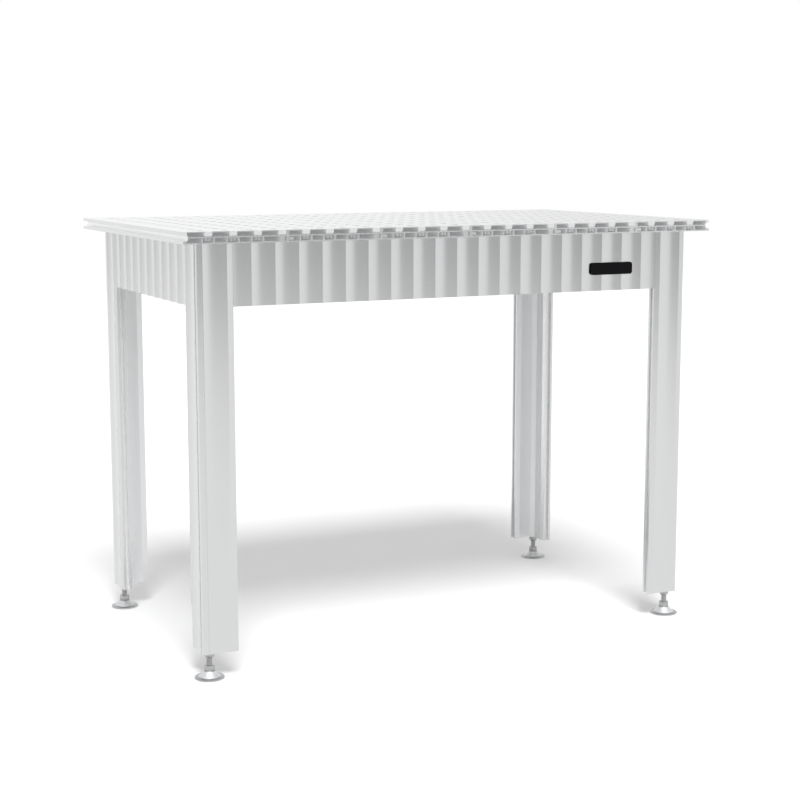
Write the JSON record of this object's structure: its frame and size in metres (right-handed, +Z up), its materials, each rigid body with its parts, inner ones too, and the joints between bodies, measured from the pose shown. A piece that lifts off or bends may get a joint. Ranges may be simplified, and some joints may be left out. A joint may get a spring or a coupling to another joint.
{
  "type": "workbench",
  "caption": "Workbench with a plank top, fluted aprons and L-shaped legs, standing on screw-adjusted levelling feet.",
  "frame": {"origin": "on the floor, in the middle of the bench", "axes": "+Z up, +X along the bench to the right as seen from the front, -Y out of the front"},
  "size_m": [1.2, 0.7, 0.89],
  "materials": {
    "top": "satin anodised extrusion",
    "frame": "satin anodised extrusion",
    "key": "mill finish bar",
    "steel": "zinc-plated, dull",
    "chrome": "polished",
    "base": "dull pressed disc"
  },
  "bodies": {
    "frame": {"top_plank_1": "top", "top_plank_2": "top", "top_plank_3": "top", "top_plank_4": "top", "top_plank_5": "top", "top_plank_6": "top", "leg_front_left": "frame", "leg_front_right": "frame", "leg_back_left": "frame", "leg_back_right": "frame", "apron_front": "frame", "apron_back": "frame", "apron_left": "frame", "apron_right": "frame", "joint_key_front_left_x": "key", "joint_key_front_left_y": "key", "joint_key_front_right_x": "key", "joint_key_front_right_y": "key", "joint_key_back_left_x": "key", "joint_key_back_left_y": "key", "joint_key_back_right_x": "key", "joint_key_back_right_y": "key", "bracket_front_left": "steel", "bracket_front_left_screw_top": "steel", "bracket_front_left_screw_apron": "steel", "bracket_front_right": "steel", "bracket_front_right_screw_top": "steel", "bracket_front_right_screw_apron": "steel", "bracket_back_left": "steel", "bracket_back_left_screw_top": "steel", "bracket_back_left_screw_apron": "steel", "bracket_back_right": "steel", "bracket_back_right_screw_top": "steel", "bracket_back_right_screw_apron": "steel", "bracket_left": "steel", "bracket_left_screw_top": "steel", "bracket_left_screw_apron": "steel", "bracket_right": "steel", "bracket_right_screw_top": "steel", "bracket_right_screw_apron": "steel"},
    "foot_front_left": {"foot_bell_front_left": "chrome", "foot_base_front_left": "base"},
    "spindle_front_left": {"foot_spindle_front_left": "steel"},
    "lock_nut_front_left": {"lock_nut_front_left": "steel"},
    "foot_front_right": {"foot_bell_front_right": "chrome", "foot_base_front_right": "base"},
    "spindle_front_right": {"foot_spindle_front_right": "steel"},
    "lock_nut_front_right": {"lock_nut_front_right": "steel"},
    "foot_back_left": {"foot_bell_back_left": "chrome", "foot_base_back_left": "base"},
    "spindle_back_left": {"foot_spindle_back_left": "steel"},
    "lock_nut_back_left": {"lock_nut_back_left": "steel"},
    "foot_back_right": {"foot_bell_back_right": "chrome", "foot_base_back_right": "base"},
    "spindle_back_right": {"foot_spindle_back_right": "steel"},
    "lock_nut_back_right": {"lock_nut_back_right": "steel"}
  },
  "joints": [
    {"name": "foot_height_front_left", "type": "slide", "parent": "frame", "child": "foot_front_left", "axis": [0, 0, 1], "range_m": [-0.03, 0.016]},
    {"name": "spindle_turn_front_left", "type": "hinge", "parent": "foot_front_left", "child": "spindle_front_left", "pos_m": [-0.54375, -0.29375, 0], "axis": [0, 0, 1], "range_deg": [-6200, 3320]},
    {"name": "lock_nut_turn_front_left", "type": "hinge", "parent": "frame", "child": "lock_nut_front_left", "pos_m": [-0.54375, -0.29375, 0], "axis": [0, 0, 1], "range_deg": [-360, 0]},
    {"name": "foot_height_front_right", "type": "slide", "parent": "frame", "child": "foot_front_right", "axis": [0, 0, 1], "range_m": [-0.03, 0.016]},
    {"name": "spindle_turn_front_right", "type": "hinge", "parent": "foot_front_right", "child": "spindle_front_right", "pos_m": [0.54375, -0.29375, 0], "axis": [0, 0, 1], "range_deg": [-6200, 3320]},
    {"name": "lock_nut_turn_front_right", "type": "hinge", "parent": "frame", "child": "lock_nut_front_right", "pos_m": [0.54375, -0.29375, 0], "axis": [0, 0, 1], "range_deg": [-360, 0]},
    {"name": "foot_height_back_left", "type": "slide", "parent": "frame", "child": "foot_back_left", "axis": [0, 0, 1], "range_m": [-0.03, 0.016]},
    {"name": "spindle_turn_back_left", "type": "hinge", "parent": "foot_back_left", "child": "spindle_back_left", "pos_m": [-0.54375, 0.29375, 0], "axis": [0, 0, 1], "range_deg": [-6200, 3320]},
    {"name": "lock_nut_turn_back_left", "type": "hinge", "parent": "frame", "child": "lock_nut_back_left", "pos_m": [-0.54375, 0.29375, 0], "axis": [0, 0, 1], "range_deg": [-360, 0]},
    {"name": "foot_height_back_right", "type": "slide", "parent": "frame", "child": "foot_back_right", "axis": [0, 0, 1], "range_m": [-0.03, 0.016]},
    {"name": "spindle_turn_back_right", "type": "hinge", "parent": "foot_back_right", "child": "spindle_back_right", "pos_m": [0.54375, 0.29375, 0], "axis": [0, 0, 1], "range_deg": [-6200, 3320]},
    {"name": "lock_nut_turn_back_right", "type": "hinge", "parent": "frame", "child": "lock_nut_back_right", "pos_m": [0.54375, 0.29375, 0], "axis": [0, 0, 1], "range_deg": [-360, 0]}
  ],
  "couplings": [
    {"joint": "spindle_turn_front_left", "follows": "foot_height_front_left", "rad_per_m": 3590.4},
    {"joint": "spindle_turn_front_right", "follows": "foot_height_front_right", "rad_per_m": 3590.4},
    {"joint": "spindle_turn_back_left", "follows": "foot_height_back_left", "rad_per_m": 3590.4},
    {"joint": "spindle_turn_back_right", "follows": "foot_height_back_right", "rad_per_m": 3590.4}
  ]
}
